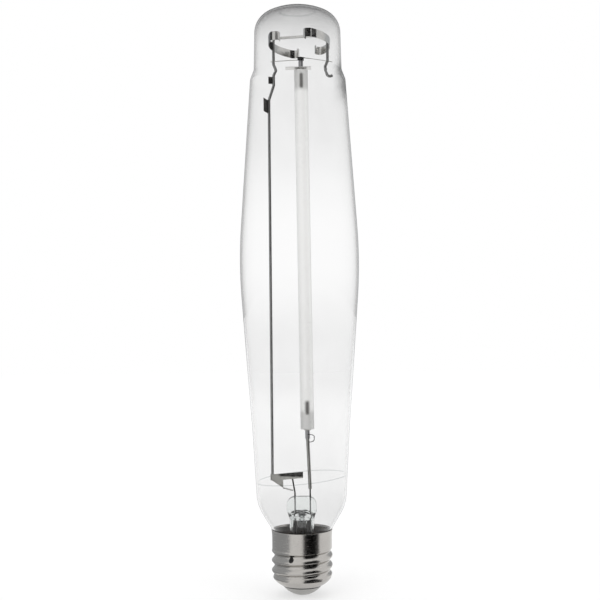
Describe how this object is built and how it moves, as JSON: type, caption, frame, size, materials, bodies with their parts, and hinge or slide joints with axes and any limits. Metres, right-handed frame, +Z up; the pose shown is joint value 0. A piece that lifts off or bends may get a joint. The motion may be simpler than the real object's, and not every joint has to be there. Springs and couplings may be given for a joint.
{
  "type": "high pressure sodium lamp",
  "caption": "Clear elongated discharge lamp: a ceramic arc tube held in a wire frame in a sealed glass bulb, on a mogul screw cap.",
  "frame": {"origin": "tip of the centre contact, on the axis of the screw cap", "axes": "+Z up the lamp axis from the cap to the crown of the bulb, -Y towards the front that the picture shows, +X to its right"},
  "size_m": [0.077, 0.077, 0.381],
  "materials": {
    "bulb_glass": "clear blown borosilicate glass",
    "insulator_glass": "opaque black glass, fired",
    "stem_glass": "clear pressed lead glass",
    "alumina": "translucent sintered alumina, matt",
    "sealing_frit": "fused sealing glass",
    "niobium": "drawn niobium, satin",
    "tungsten": "drawn tungsten, dark",
    "plated_steel": "nickel-plated steel rod",
    "spring_steel": "rolled stainless spring strip",
    "nickel": "drawn nickel, satin",
    "getter_steel": "steel strip with a grey getter fill",
    "plated_brass": "nickel-plated brass sheet, satin",
    "solder": "melted tin solder",
    "cement": "cured basing cement, matt"
  },
  "bodies": {
    "root": {"arc_tube": "alumina", "basing_cement": "cement", "bonding_loop": "nickel", "centre_contact": "plated_brass", "contact_solder": "solder", "cross_wire": "nickel", "end_strap": "nickel", "exhaust_tube": "stem_glass", "frame_rod": "plated_steel", "insulator": "insulator_glass", "left_lead_wire": "nickel", "left_leaf_spring": "spring_steel", "lower_bracket": "nickel", "lower_electrode": "tungsten", "lower_electrode_coil": "tungsten", "lower_end_plug": "alumina", "lower_getter_plate": "getter_steel", "lower_niobium_tube": "niobium", "lower_seal_ring": "sealing_frit", "outer_bulb": "bulb_glass", "right_lead_wire": "nickel", "right_leaf_spring": "spring_steel", "screw_shell": "plated_brass", "side_weld": "solder", "stem_tube": "stem_glass", "support_tube": "nickel", "upper_electrode": "tungsten", "upper_electrode_coil": "tungsten", "upper_end_plug": "alumina", "upper_getter_plate": "getter_steel", "upper_niobium_tube": "niobium", "upper_seal_ring": "sealing_frit"}
  },
  "joints": []
}
